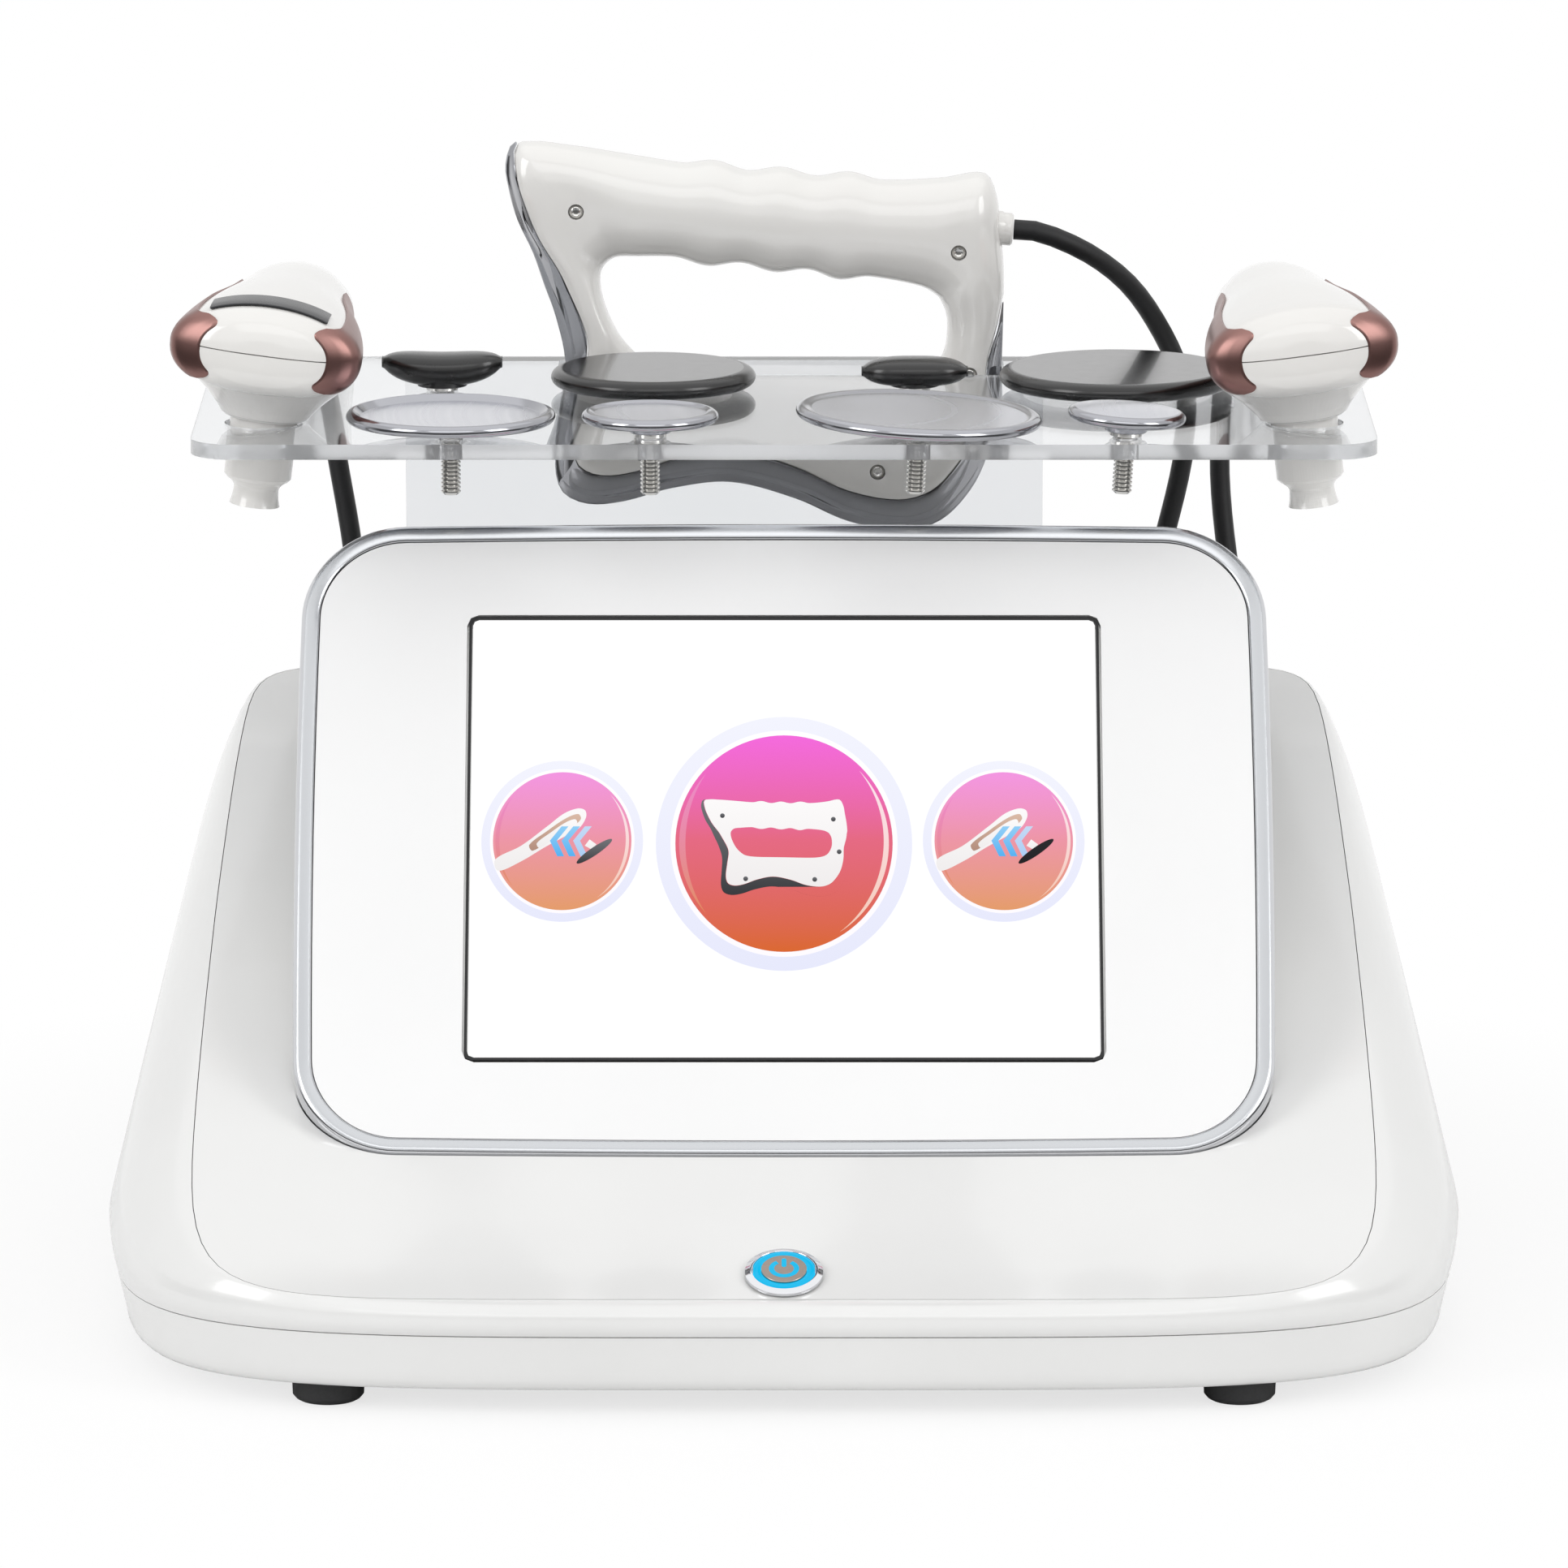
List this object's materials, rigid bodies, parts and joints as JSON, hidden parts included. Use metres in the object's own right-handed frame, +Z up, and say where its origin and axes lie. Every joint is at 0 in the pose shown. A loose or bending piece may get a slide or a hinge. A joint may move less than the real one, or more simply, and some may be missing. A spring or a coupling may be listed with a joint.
{
  "type": "tecar therapy machine",
  "caption": "Tabletop radiofrequency therapy machine: wedge housing, leaning touch screen, clear rack with electrodes, two handpieces and a wide scraper handle on leads.",
  "frame": {"origin": "centre of the machine's footprint without its leads, on the plane under the feet", "axes": "+X to the viewer's right, -Y towards the viewer (the screen's side), +Z up"},
  "size_m": [0.394, 0.4291, 0.322],
  "materials": {
    "white_housing": "moulded, glossy",
    "white_fascia": "moulded, glossy",
    "white_handle": "moulded, glossy",
    "chrome": "polished",
    "black_rubber": "matte",
    "black_coating": "smooth insulating coat",
    "rose_metal": "metallised rose trim",
    "clear_acrylic": "clear, polished",
    "blue_light": "translucent, lit",
    "screen_glass": "touch panel, lit",
    "circuit_green": "laminate",
    "grey_metal": "satin",
    "black_plastic": "moulded, fine grain"
  },
  "bodies": {
    "machine": {"upper_housing": "white_housing", "bottom_tray": "white_housing", "top_cover": "white_housing", "front_left_foot": "black_rubber", "front_right_foot": "black_rubber", "rear_left_foot": "black_rubber", "rear_right_foot": "black_rubber", "screen_back_shell": "white_housing", "screen_fascia": "white_fascia", "chrome_trim_ring": "chrome", "touch_display": "screen_glass", "display_gasket": "black_rubber", "control_board": "circuit_green", "power_button_bezel": "chrome", "power_button_light_ring": "blue_light", "acrylic_rack": "clear_acrylic", "left_rack_screw": "chrome", "right_rack_screw": "chrome", "lead_gland_panel": "black_plastic", "mains_inlet": "black_plastic", "power_supply": "grey_metal", "generator_board": "circuit_green", "heat_sink": "grey_metal", "output_transformer": "black_plastic", "left_handpiece_lead_drop": "black_rubber", "left_handpiece_lead_coil": "black_rubber", "left_handpiece_lead_rise": "black_rubber", "scraper_lead_drop": "black_rubber", "scraper_lead_coil": "black_rubber", "scraper_lead_rise": "black_rubber", "right_handpiece_lead_drop": "black_rubber", "right_handpiece_lead_coil": "black_rubber", "right_handpiece_lead_rise": "black_rubber"},
    "power_button": {"power_button_cap": "grey_metal"},
    "mains_switch": {"mains_rocker": "black_plastic"},
    "scraper": {"scraper_front_shell": "white_handle", "scraper_rear_shell": "white_handle", "scraper_blade": "chrome", "scraper_cable_collar": "white_handle", "scraper_left_screw": "grey_metal", "scraper_right_screw": "grey_metal"},
    "left_handpiece": {"left_handpiece_upper_shell": "white_handle", "left_handpiece_lower_shell": "white_handle", "left_handpiece_outer_inlay": "rose_metal", "left_handpiece_inner_inlay": "rose_metal", "left_handpiece_boot": "black_rubber", "left_handpiece_indicator": "black_coating"},
    "right_handpiece": {"right_handpiece_upper_shell": "white_handle", "right_handpiece_lower_shell": "white_handle", "right_handpiece_outer_inlay": "rose_metal", "right_handpiece_inner_inlay": "rose_metal", "right_handpiece_boot": "black_rubber"},
    "steel_62": {"steel_electrode_62": "chrome"},
    "steel_40": {"steel_electrode_40": "chrome"},
    "steel_72": {"steel_electrode_72": "chrome"},
    "steel_35": {"steel_electrode_35": "chrome"},
    "coated_curved": {"coated_electrode_curved": "black_coating"},
    "coated_62": {"coated_electrode_62": "black_coating"},
    "coated_bar": {"coated_electrode_bar": "black_coating"},
    "coated_72": {"coated_electrode_72": "black_coating"}
  },
  "joints": [
    {"name": "power_button_press", "type": "slide", "parent": "machine", "child": "power_button", "axis": [0, 0.3634, -0.9316], "range_m": [0, 0.0015], "stiffness_N_per_m": 800},
    {"name": "mains_rocker_tip", "type": "hinge", "parent": "machine", "child": "mains_switch", "pos_m": [-0.095, 0.13257, 0.05], "axis": [1, 0, 0], "range_deg": [0, 18]},
    {"name": "scraper_lift", "type": "slide", "parent": "machine", "child": "scraper", "axis": [0.0698, 0, 0.9976], "range_m": [0, 0.06]},
    {"name": "left_handpiece_lift", "type": "slide", "parent": "machine", "child": "left_handpiece", "axis": [0.1219, 0, 0.9925], "range_m": [0, 0.045]},
    {"name": "right_handpiece_lift", "type": "slide", "parent": "machine", "child": "right_handpiece", "axis": [-0.1219, 0, 0.9925], "range_m": [0, 0.045]},
    {"name": "steel_62_lift", "type": "slide", "parent": "machine", "child": "steel_62", "axis": [0, 0, 1], "range_m": [0, 0.006]},
    {"name": "steel_40_lift", "type": "slide", "parent": "machine", "child": "steel_40", "axis": [0, 0, 1], "range_m": [0, 0.02]},
    {"name": "steel_72_lift", "type": "slide", "parent": "machine", "child": "steel_72", "axis": [0.0488, 0, 0.9988], "range_m": [0, 0.02]},
    {"name": "steel_35_lift", "type": "slide", "parent": "machine", "child": "steel_35", "axis": [0.0611, 0, 0.9981], "range_m": [0, 0.02]},
    {"name": "coated_curved_lift", "type": "slide", "parent": "machine", "child": "coated_curved", "axis": [0, 0, 1], "range_m": [0, 0.02]},
    {"name": "coated_62_lift", "type": "slide", "parent": "machine", "child": "coated_62", "axis": [0, 0, 1], "range_m": [0, 0.02]},
    {"name": "coated_bar_lift", "type": "slide", "parent": "machine", "child": "coated_bar", "axis": [0, 0, 1], "range_m": [0, 0.02]},
    {"name": "coated_72_lift", "type": "slide", "parent": "machine", "child": "coated_72", "axis": [0, 0, 1], "range_m": [0, 0.002]}
  ]
}
